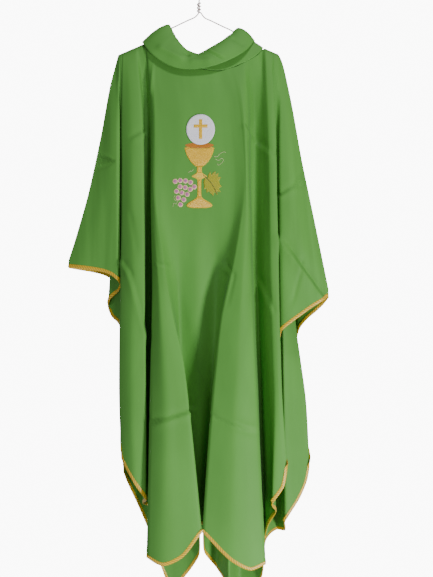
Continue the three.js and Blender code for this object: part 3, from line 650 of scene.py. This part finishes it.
# ---------- back panel ----------
# The back of the garment, the same cloth cut a little longer, so its hem shows below the front's. It
# is sewn to the front along the shoulders and wings, and its fold lines run in the same order.
BACK_FOLDS = [
    (0.25, [(-328, SEAM_Y, 712), (-329, 3, 732)]),
    (0.25, [(-312, SEAM_Y, 662), (-302, 14, 737)]),
    (0.25, [(-279, SEAM_Y, 546), (-277, 16, 661), (-272, 20, 742)]),
    (0.25, [(-247, SEAM_Y, 400), (-244, 20, 559), (-242, 26, 750)]),
    (0.25, [(-224, SEAM_Y, 274), (-224, 22, 432), (-222, 30, 762)]),
    (0.60, [(-209, SEAM_Y, 217), (-207, 20, 432), (-208, 30, 793)]),
    # groove
    (0.25, [(-202, 5), (-200, 12, 434), (-200, 14, 845)]),
    (0.25, [(-199, 6), (-192, 9, 434), (-188, 9, 813), (-186, 9, 935)]),
    (0.25, [(-196, 7), (-190, 18, 434), (-188, 28, 813), (-189, 34, 1090)]),
    # side panel
    (0.60, [(-192, 8), (-196, 30, 431), (-200, 54, 814), (-205, 66, 1074), (-198, 70, 1262)]),
    (0.25, [(-180, 7), (-175, 46, 428), (-170, 82, 814), (-171, 98, 1078), (-164, 106, 1355)]),
    (0.70, [(-159, 7), (-144, 50, 427), (-134, 90, 814), (-132, 108, 1080), (-138, 116, 1421)]),
    # back fold
    (0.70, [(-150, 8), (-132, 30, 427), (-121, 40, 814), (-118, 46, 1080), (-123, 54, 1462)]),
    (0.25, [(-139, 8), (-116, 62, 424), (-107, 102, 815), (-104, 122, 1082), (-108, 132, 1520)]),
    (0.30, [(-124, 14), (-96, 66, 424), (-83, 106, 815), (-78, 126, 1082), (-76, 138, 1590)]),
    (0.25, [(-109, 18), (-70, 60, 425), (-50, 96, 815), (-40, 112, 1080), (-32, 126, 1542)]),
    (0.25, [(-79, 26), (-39, 48, 428), (-18, 72, 814), (-10, 84, 1076), (-3, 100, 1490)]),
    # centre
    (0.25, [(-38, 33), (-13, 36, 430), (-3, 26, 814), (0, 22, 1068), (3, 20, 1401)]),
    (0.25, [(3, 36), (13, 36, 430), (13, 26, 814), (13, 22, 1068), (8, 20, 1399)]),
    (0.25, [(44, 33), (39, 50, 428), (26, 74, 814), (21, 86, 1077), (13, 100, 1482)]),
    # back fold
    (0.25, [(79, 26), (75, 62, 425), (61, 98, 815), (53, 114, 1080), (45, 126, 1530)]),
    (0.70, [(92, 23), (90, 34, 425), (81, 44, 815), (77, 50, 1081), (76, 60, 1556)]),
    (0.25, [(107, 20), (107, 66, 424), (103, 108, 815), (104, 128, 1082), (105, 138, 1599)]),
    (0.25, [(124, 15), (132, 50, 427), (144, 84, 814), (151, 102, 1079), (158, 116, 1567)]),
    # groove
    (0.25, [(136, 11), (144, 14, 433), (152, 10, 813), (159, 12, 1067), (172, 22, 1418)]),
    (0.25, [(154, 7), (175, 40, 429), (192, 64, 814), (201, 74, 1075), (202, 82, 1414)]),
    (0.25, [(165, 7), (187, 30, 431), (204, 42, 813), (211, 46, 1071), (221, 52, 1408)]),
    # side panel
    (0.25, [(169, 7), (196, 16, 433), (210, 13, 813), (214, 12, 1067), (218, 16, 1376)]),
    (0.25, [(178, 7), (206, 20, 432), (226, 24, 814), (242, 26, 1069), (256, 30, 1320)]),
    (0.25, [(184, 7), (214, 24, 431), (238, 32, 865), (262, 38, 1070), (277, 42, 1276)]),
    (0.25, [(188, 6), (220, 28, 431), (246, 40, 865), (274, 46, 1071), (284, 48, 1229)]),
    (0.25, [(192, 7), (217, 42, 428), (236, 60, 814), (256, 68, 1120)]),
    (0.25, [(198, 7), (209, 46, 428), (222, 68, 814), (228, 78, 1022)]),
    (0.25, [(208, SEAM_Y, 210), (212, 50, 430), (248, 82, 946)]),
    (0.25, [(214, SEAM_Y, 229), (230, 40, 482), (259, 60, 888)]),
    (0.25, [(234, SEAM_Y, 322), (254, 30, 558), (278, 42, 861)]),
    (0.25, [(259, SEAM_Y, 461), (298, 27, 842)]),
    (0.25, [(290, SEAM_Y, 609), (315, 16, 824)]),
    (0.25, [(326, SEAM_Y, 785), (327, 3, 806)]),
]
BACK_CREASES = [
    ("ridge", (-60, -520), (40, -548), 2.4, 7),
    ("ridge", (-150, -760), (-96, -742), 2.2, 7),
    ("ridge", (88, -860), (140, -884), -2.4, 7),
    ("ridge", (-90, -1130), (-20, -1104), 2.6, 8),
    ("ridge", (60, -1240), (128, -1262), 2.2, 8),
]
back_rows = rumpled(hanging_panel(BACK_FOLDS, 1), 1, BACK_CREASES, 11)
back_cloth = sheet_object("back_cloth", back_rows, 1)
back_cloth.data.materials.append(green_cloth)
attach(back_cloth, "garment")
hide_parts("back_panel")

# ---------- hem bindings ----------
# Gold satin cut on the bias, folded round the raw edge of each panel and stitched through: a narrow
# rounded channel with fine slanting ribs.

# The channel's outline in millimetres, from inside its front lip round the hem to inside its back lip
# and back along the fold: how far up from the hem, and how far out from the cloth's middle.
CHANNEL = [
    (7.2, 0.7), (7.5, 0.95), (6.9, 1.3), (5.0, 1.5), (2.2, 1.5), (0.2, 1.25), (-0.7, 0.7), (-0.9, 0),
    (-0.7, -0.7), (0.2, -1.25), (2.2, -1.5), (5.0, -1.5), (6.9, -1.3), (7.5, -0.95), (7.2, -0.7),
    (1.6, -0.65), (0.3, -0.55), (0.3, 0.55), (1.6, 0.65),
]


def closed_object(name, mesh, sharp_angle):
    """Puts a closed mesh in the scene with its faces turned outwards."""
    obj = scene_object(name, mesh)
    bpy.ops.object.mode_set(mode="EDIT")
    bpy.ops.mesh.select_all(action="SELECT")
    bpy.ops.mesh.normals_make_consistent(inside=False)
    bpy.ops.object.mode_set(mode="OBJECT")
    bpy.ops.object.shade_smooth_by_angle(angle=math.radians(sharp_angle))
    return obj


def bound_hem(name, rows, side, node):
    """The binding along the last row of a panel."""
    normals = face_normals(rows, side)[-1]
    hem = rows[-1]
    above = rows[-4]
    points = []
    run = [0.0]
    for c, p in enumerate(hem):
        along = (hem[min(c + 1, len(hem) - 1)] - hem[max(c - 1, 0)]).normalized()
        up = above[c] - p
        up = (up - along * up.dot(along)).normalized()
        out = along.cross(up) * (-side)
        if out.dot(normals[c]) < 0:
            out = -out
        points += [p + (up * a + out * b) * MM for a, b in CHANNEL]
        if c:
            run.append(run[-1] + (p - hem[c - 1]).length)
    n = len(CHANNEL)
    faces = []
    for c in range(len(hem) - 1):
        for i in range(n):
            j = (i + 1) % n
            faces.append((c * n + i, c * n + j, (c + 1) * n + j, (c + 1) * n + i))
    faces.append(tuple(range(n)))
    faces.append(tuple(range((len(hem) - 1) * n, len(hem) * n))[::-1])
    mesh = bpy.data.meshes.new(name)
    mesh.from_pydata(points, [], faces)
    round_the_edge = [0.0]
    for (a0, b0), (a1, b1) in zip(CHANNEL, CHANNEL[1:]):
        round_the_edge.append(round_the_edge[-1] + math.hypot(a1 - a0, b1 - b0) * MM)
    layer = mesh.uv_layers.new(name="flat_metres")
    for loop in mesh.loops:
        c, i = divmod(loop.vertex_index, n)
        layer.data[loop.index].uv = (run[c], round_the_edge[i])
    obj = closed_object(name, mesh, 50)
    obj.data.materials.append(gold_satin)
    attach(obj, "garment")
    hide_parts(node)
    return obj


gold_satin, nodes, links, shader = new_material("gold_satin", (0.62, 0.36, 0.07), 0.42)
shader.inputs["Sheen Weight"].default_value = 0.2
flat = nodes.new("ShaderNodeUVMap")
flat.uv_map = "flat_metres"
ribs = nodes.new("ShaderNodeTexWave")
ribs.bands_direction = "DIAGONAL"
ribs.inputs["Scale"].default_value = 90
ribs.inputs["Distortion"].default_value = 0.8
tone = two_tones(nodes, (0.46, 0.25, 0.004), (0.78, 0.5, 0.012), 0.1, 0.7)
links.new(flat.outputs["UV"], ribs.inputs["Vector"])
links.new(ribs.outputs["Fac"], tone.inputs["Fac"])
links.new(tone.outputs["Color"], shader.inputs["Base Color"])
add_bump(nodes, links, shader, ribs.outputs["Fac"], 0.5, 0.0005)

front_binding = bound_hem("front_binding", front_rows, -1, "front_hem_binding")
back_binding = bound_hem("back_binding", back_rows, 1, "back_hem_binding")

# ---------- roll collar ----------
# One band of the same cloth, sewn to the neck edge, standing up inside, turned over at the roll and
# falling outside to a plain folded edge. Its end laps over at the front right.
COLLAR_COLUMNS = 192
COLLAR_ROWS = 40
LOOK_ASIDE = 0.01
ROLL_TAUTNESS = 0.6
# The collar's outer edge and its folded upper edge, at the same stations as the neck's edge.
NECK_FALL = [
    (-143, 0, 164), (-122, -26, 197), (-84, -34, 227), (-47, -40, 241),
    (-5, -43, 243), (40, -42, 234), (89, -34, 212), (119, -23, 190),
    (140, 0, 161), (122, 24, 188), (88, 38, 206), (45, 48, 222),
    (0, 50, 226), (-45, 46, 219), (-84, 38, 206), (-120, 26, 188),
]
NECK_ROLL = [
    (-76, 0, 122), (-64, -9, 147), (-52, -16, 166), (-32, -22, 190),
    (-2, -26, 203), (27, -24, 188), (57, -18, 168), (82, -8, 147),
    (97, 0, 131), (82, 8, 149), (57, 18, 167), (27, 24, 185),
    (0, 26, 197), (-32, 22, 186), (-52, 16, 167), (-64, 9, 150),
]
COLLAR_CREASES = [
    ("step", (8, -186), (58, -214), -7.0, 2.2),
    ("ridge", (-54, -170), (-24, -206), 4.5, 6),
    ("ridge", (-100, -184), (-40, -216), -3.5, 8),
    ("ridge", (-20, -222), (30, -222), -2.0, 7),
    ("ridge", (84, -160), (112, -178), 2.0, 6),
]


def collar_rows():
    """The band's middle surface as closed rows, up the inside from the seam and down the outside."""
    seam = smooth_line([Vector(p) for p in NECK_SEAM], closed=True)
    fall = smooth_line([Vector(p) for p in NECK_FALL], closed=True)
    roll_curve = smooth_line([Vector(p) for p in NECK_ROLL], closed=True)
    stations = len(NECK_ROLL)

    def roll(t):
        place = t * stations
        i = int(place)
        chord = Vector(NECK_ROLL[i % stations]).lerp(Vector(NECK_ROLL[(i + 1) % stations]), place - i)
        return roll_curve(t).lerp(chord, ROLL_TAUTNESS)

    columns = []
    shares = [n / (COLLAR_ROWS - 1) for n in range(COLLAR_ROWS)]
    for k in range(COLLAR_COLUMNS):
        t = k / COLLAR_COLUMNS
        places = (seam(t), fall(t), roll(t), roll((t + LOOK_ASIDE) % 1), roll((t - LOOK_ASIDE) % 1))
        base, edge, top, ahead, behind = (Vector((p.x, p.y, -p.z)) for p in places)
        tangent = (ahead - behind).normalized()
        fall_way = (edge - top).normalized()
        out = fall_way.cross(tangent).normalized()
        rise = (top - base).normalized()
        profile = [
            base + rise * 1.6,
            base.lerp(top, 0.3) - out * 0.5,
            base.lerp(top, 0.65) - out * 1.0,
            base.lerp(top, 0.93) - out * 0.5,
            top - fall_way * 2.5 + out * 2,
            top.lerp(edge, 0.06) + out * 6,
            top.lerp(edge, 0.28) + out * 8.5,
            top.lerp(edge, 0.6) + out * 7.5,
            top.lerp(edge, 0.85) + out * 4,
            top.lerp(edge, 1) + out * 1.5,
        ]
        columns.append(spread_points([p * MM for p in profile], shares))
    return [list(row) for row in zip(*columns)]


def shaped_collar(rows):
    """Adds the lap at the front right, the crest on the left and the long soft hollows of the band."""
    closed = [[row[-1], *row, row[0]] for row in rows]
    normals = [line[1:-1] for line in face_normals(closed, -1)]
    moved = []
    for r, row in enumerate(rows):
        down = r / (len(rows) - 1)
        outside = smooth_step(0.5, 0.62, down)
        line = []
        for c, p in enumerate(row):
            x, z = p.x / MM, p.z / MM
            lift = 1.2 * noise.noise(Vector((p.x * 14, p.y * 14, p.z * 14 + 5)))
            if p.y < 0:
                lift += outside * sum(crease_height(x, z, crease) for crease in COLLAR_CREASES)
            line.append(p + normals[r][c] * (lift * MM))
        moved.append(line)
    return moved


collar_grid = shaped_collar(collar_rows())
collar_grid = [[*row, row[0]] for row in collar_grid]
collar_cloth = sheet_object("collar_cloth", collar_grid, -1)
bpy.ops.object.mode_set(mode="EDIT")
bpy.ops.mesh.select_all(action="SELECT")
bpy.ops.mesh.remove_doubles(threshold=0.00002)
bpy.ops.object.mode_set(mode="OBJECT")
collar_cloth.data.materials.append(green_cloth)
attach(collar_cloth, "garment")
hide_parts("collar")

# ---------- embroidery ----------
# Machine satin stitch on the breast: a white host with a plain cross over a golden chalice, with a
# bunch of grapes, a vine leaf and tendrils. Each area of stitching stands up a little from the cloth.
# The host's centre, the backing under the stitches, and how far a patch lies off the cloth when it is
# sewn on the cloth itself, over the cup's mouth, on the host, in a grape's ring and on the leaf.
MOTIF_X, MOTIF_DROP = 5, 393
BACKING = 0.35
ON_CLOTH = 0.2
OVER_MOUTH = 1.9
ON_HOST = 3.3
IN_RING = 1.3
ON_LEAF = 1.5
cloth_face = BVHTree.FromObject(front_cloth, bpy.context.evaluated_depsgraph_get())


def cloth_front(x, z):
    """Place and way out of the front cloth at x and z, in metres."""
    hit, normal, _, _ = cloth_face.ray_cast(Vector((x, -0.5, z)), Vector((0, 1, 0)))
    return hit, (-normal if normal.y > 0 else normal)


def thread(name, dark, light, slant, pitch):
    """Glossy embroidery thread laid side by side at a slant."""
    material, nodes, links, shader = new_material(name, light, 0.38)
    shader.inputs["Sheen Weight"].default_value = 0.08
    place = nodes.new("ShaderNodeTexCoord")
    turn = nodes.new("ShaderNodeMapping")
    turn.inputs["Rotation"].default_value = (0, slant, 0)
    strands = nodes.new("ShaderNodeTexWave")
    strands.bands_direction = "X"
    strands.inputs["Scale"].default_value = pitch
    strands.inputs["Distortion"].default_value = 1.2
    strands.inputs["Detail"].default_value = 2
    links.new(place.outputs["Object"], turn.inputs["Vector"])
    links.new(turn.outputs["Vector"], strands.inputs["Vector"])
    tone = two_tones(nodes, dark, light, 0.15, 0.75)
    links.new(strands.outputs["Fac"], tone.inputs["Fac"])
    links.new(tone.outputs["Color"], shader.inputs["Base Color"])
    add_bump(nodes, links, shader, strands.outputs["Fac"], 0.7, 0.0004)
    return material


def stitched(name, outline, material, lift, height, step=2.0, edge=2.4, node=None):
    """A patch of satin stitch in an outline round the host's centre: it stands lift off the cloth,
    height thick, and rounds over within edge of its outline. step is the size of its mesh."""
    outline = [Vector(p) for p in outline]
    count = len(outline)
    fine = []
    for a, b in zip(outline, outline[1:] + outline[:1]):
        pieces = max(1, round((b - a).length / step))
        fine += [a.lerp(b, k / pieces) for k in range(pieces)]
    low = Vector((min(p.x for p in fine), min(p.y for p in fine)))
    high = Vector((max(p.x for p in fine), max(p.y for p in fine)))
    rim = len(fine)
    points = list(fine)

    def gap(p):
        """Distance from p to the outline."""
        best = 1e9
        for a, b in zip(outline, outline[1:] + outline[:1]):
            near, t = intersect_point_line(p, a, b)
            near = a if t < 0 else b if t > 1 else near
            best = min(best, (p - Vector(near[:2])).length)
        return best

    def inside(p):
        """Whether p lies within the outline."""
        odd = False
        for a, b in zip(outline, outline[1:] + outline[:1]):
            if (a.y > p.y) != (b.y > p.y) and p.x < a.x + (p.y - a.y) / (b.y - a.y) * (b.x - a.x):
                odd = not odd
        return odd

    y = low.y + step / 2
    while y < high.y:
        x = low.x + step / 2
        while x < high.x:
            p = Vector((x, y))
            if inside(p) and gap(p) > step * 0.45:
                points.append(p)
            x += step
        y += step
    ring = [(k, (k + 1) % rim) for k in range(rim)]
    flat_points, _, faces, _, _, _ = delaunay_2d_cdt(points, ring, [], 1, 1e-6)
    top, under = [], []
    for p in flat_points:
        rise = height * math.sin(min(gap(p) / edge, 1) * math.pi / 2) ** 0.7 if gap(p) > 1e-4 else 0
        hit, out = cloth_front((MOTIF_X + p.x) * MM, (p.y - MOTIF_DROP) * MM)
        top.append(hit + out * ((lift + BACKING + rise) * MM))
        under.append(hit + out * (lift * MM))
    n = len(flat_points)
    edges = [(a, b) for f in faces for a, b in zip(f, f[1:] + f[:1])]
    known = set(edges)
    walls = [(a, b) for a, b in edges if (b, a) not in known]
    all_faces = [tuple(f) for f in faces] + [tuple(i + n for i in reversed(f)) for f in faces]
    all_faces += [(b, a, a + n, b + n) for a, b in walls]
    mesh = bpy.data.meshes.new(name)
    mesh.from_pydata(top + under, [], all_faces)
    obj = closed_object(name, mesh, 55)
    obj.data.materials.append(material)
    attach(obj, "garment")
    if node:
        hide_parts(node)


def oval(cx, cy, rx, ry, count=40):
    """The outline of an oval area, as count points."""
    turns = [k / count * math.tau for k in range(count)]
    return [(cx + rx * math.cos(turn), cy + ry * math.sin(turn)) for turn in turns]


def turned(profile):
    """The outline of a turned part of the chalice, from its half widths down the right side."""
    right = [(CHALICE_X + half, y) for half, y in profile]
    left = [(CHALICE_X - half, y) for half, y in reversed(profile)]
    return right + left


def ribbon(points, width):
    """The outline of a narrow line of stitching along points."""
    at = smooth_line([Vector((x, y, 0)) for x, y in points])
    steps = len(points) * 5
    left, right = [], []
    for k in range(steps + 1):
        p = at(k / steps)
        t = (at(min(k / steps + 0.01, 1)) - at(max(k / steps - 0.01, 0))).normalized()
        left.append((p.x - t.y * width / 2, p.y + t.x * width / 2))
        right.append((p.x + t.y * width / 2, p.y - t.x * width / 2))
    return left + right[::-1]


white_thread = thread("white_thread", (0.88, 0.84, 1), (1, 1, 1), 0.5, 260)
gold_thread = thread("gold_thread", (0.7, 0.36, 0.005), (0.95, 0.6, 0.02), -0.6, 240)
bright_gold_thread = thread("bright_gold_thread", (0.8, 0.48, 0.01), (1, 0.72, 0.05), 0.9, 240)
orange_thread = thread("orange_thread", (0.4, 0.12, 0.01), (0.68, 0.25, 0.02), 0.2, 240)

RIM_Y = -39
CHALICE_X = -3
stitched("host_disc", oval(0, 0, 35, 38, 56), white_thread, OVER_MOUTH, 1.1, node="host")
cross = [
    (-4, -24), (4, -24), (4, 4), (17, 4), (17, 12), (4, 12),
    (4, 25), (-4, 25), (-4, 12), (-17, 12), (-17, 4), (-4, 4),
]
stitched("host_cross_stitch", cross, gold_thread, ON_HOST, 0.7, node="host_cross")
mouth = oval(CHALICE_X, RIM_Y, 35, 6.5)
stitched("cup_mouth", mouth, orange_thread, ON_CLOTH, 0.8, node="chalice_mouth")
bowl = [(36.5, -45), (34, -56), (29, -68), (22, -79), (14, -87), (9, -91)]
rim = [(CHALICE_X + x, RIM_Y - 7.2 * math.sqrt(1 - (x / 37.5) ** 2)) for x in (-30, -18, -6, 6, 18, 30)]
stitched("bowl_stitch", rim + turned(bowl), gold_thread, ON_CLOTH, 1.2, node="chalice_bowl")
upper_stem = [(6.5, -91.5), (6, -98), (6, -105.5)]
stitched("upper_stem_stitch", turned(upper_stem), gold_thread, ON_CLOTH, 1.1, node="chalice_upper_stem")
knop = [(6, -106), (11, -110), (18.5, -114.5), (18.5, -117), (10, -120), (5, -123.5)]
stitched("knop_stitch", turned(knop), bright_gold_thread, ON_CLOTH, 1.2, node="chalice_knop")
lower_stem = [(5, -124), (4.2, -140), (4.4, -160), (5.5, -165.5)]
stitched("lower_stem_stitch", turned(lower_stem), gold_thread, ON_CLOTH, 1.1, node="chalice_lower_stem")
foot = [(5.5, -166), (10, -171), (20, -176.5), (29, -182), (32, -187), (29, -191), (16, -193.5)]
stitched("foot_stitch", turned(foot), gold_thread, ON_CLOTH, 1.2, node="chalice_foot")

# Grapes: each a button of magenta stitching inside a ring of cream pink thread.
GRAPES = [
    (-62.5, -128), (-50, -126), (-37, -127), (-24.5, -130.5), (-15.5, -141.5),
    (-50.5, -141), (-38, -143), (-25.5, -147.5), (-59, -152.5), (-46, -156),
    (-33, -160), (-55, -168.5), (-41.5, -173), (-49.5, -185),
]
magenta_thread = thread("magenta_thread", (0.42, 0.08, 0.3), (0.7, 0.22, 0.46), 0.7, 300)
cream_thread = thread("cream_thread", (0.74, 0.44, 0.28), (0.95, 0.7, 0.45), -0.4, 300)
for k, (x, y) in enumerate(GRAPES, 1):
    ring = oval(x, y, 6.3, 6.3, 20)
    button = oval(x, y, 4.0, 4.0, 16)
    node = f"grape_{k:02d}"
    stitched(f"grape_ring_{k:02d}", ring, cream_thread, ON_CLOTH, 1.0, step=1.6, node=node)
    stitched(f"grape_centre_{k:02d}", button, magenta_thread, IN_RING, 0.7, step=1.6, edge=2.0)

# Vine leaf and tendrils: olive stitching streaked with green, a dark vein, and thin pale lines.
leaf_thread = thread("leaf_thread", (0.1, 0.2, 0.01), (0.6, 0.5, 0.02), 0.8, 120)
pale_thread = thread("pale_green_thread", (0.25, 0.42, 0.12), (0.48, 0.62, 0.25), 0.3, 260)
vein_thread = thread("vein_thread", (0.1, 0.11, 0.02), (0.2, 0.2, 0.05), 0.3, 260)
LEAF = [
    (11, -117), (17, -121), (19, -111), (24, -104), (26, -112), (31, -106), (37, -103), (36, -111),
    (44, -107), (42, -116), (50, -118), (45, -127), (47, -135), (52, -140), (45, -146), (49, -154),
    (41, -153), (41, -161), (34, -154), (31, -165), (25, -158), (20, -152), (15, -156), (14, -146),
    (8, -148), (9, -138), (7, -130),
]
stitched("leaf_stitch", LEAF, leaf_thread, ON_CLOTH, 1.1, node="vine_leaf")
vein = ribbon([(6, -112), (18, -123), (29, -137), (40, -158)], 2)
stitched(
    "leaf_vein_stitch", vein, vein_thread, ON_LEAF, 0.5,
    step=1.2, edge=1.0, node="leaf_vein",
)
# The line each tendril follows, and the width of its stitching.
TENDRILS = {
    "tendril_upper": ([(33, -67), (41, -67), (45, -62), (50, -58), (58, -55), (62, -57)], 2),
    "tendril_middle": ([(36, -73), (45, -76), (51, -71), (56, -76), (50, -84), (44, -88), (40, -84)], 1.8),
    "tendril_knop": ([(-30, -107), (-27, -103), (-22, -103), (-18, -98)], 1.8),
    "tendril_lower": (
        [(-62, -163), (-66, -167), (-63, -174), (-58, -176), (-60, -183), (-66, -182), (-68, -190)], 1.8
    ),
}
for node, (line, width) in TENDRILS.items():
    stitched(
        node + "_stitch", ribbon(line, width), pale_thread, ON_CLOTH, 0.7,
        step=1.2, edge=0.9, node=node,
    )
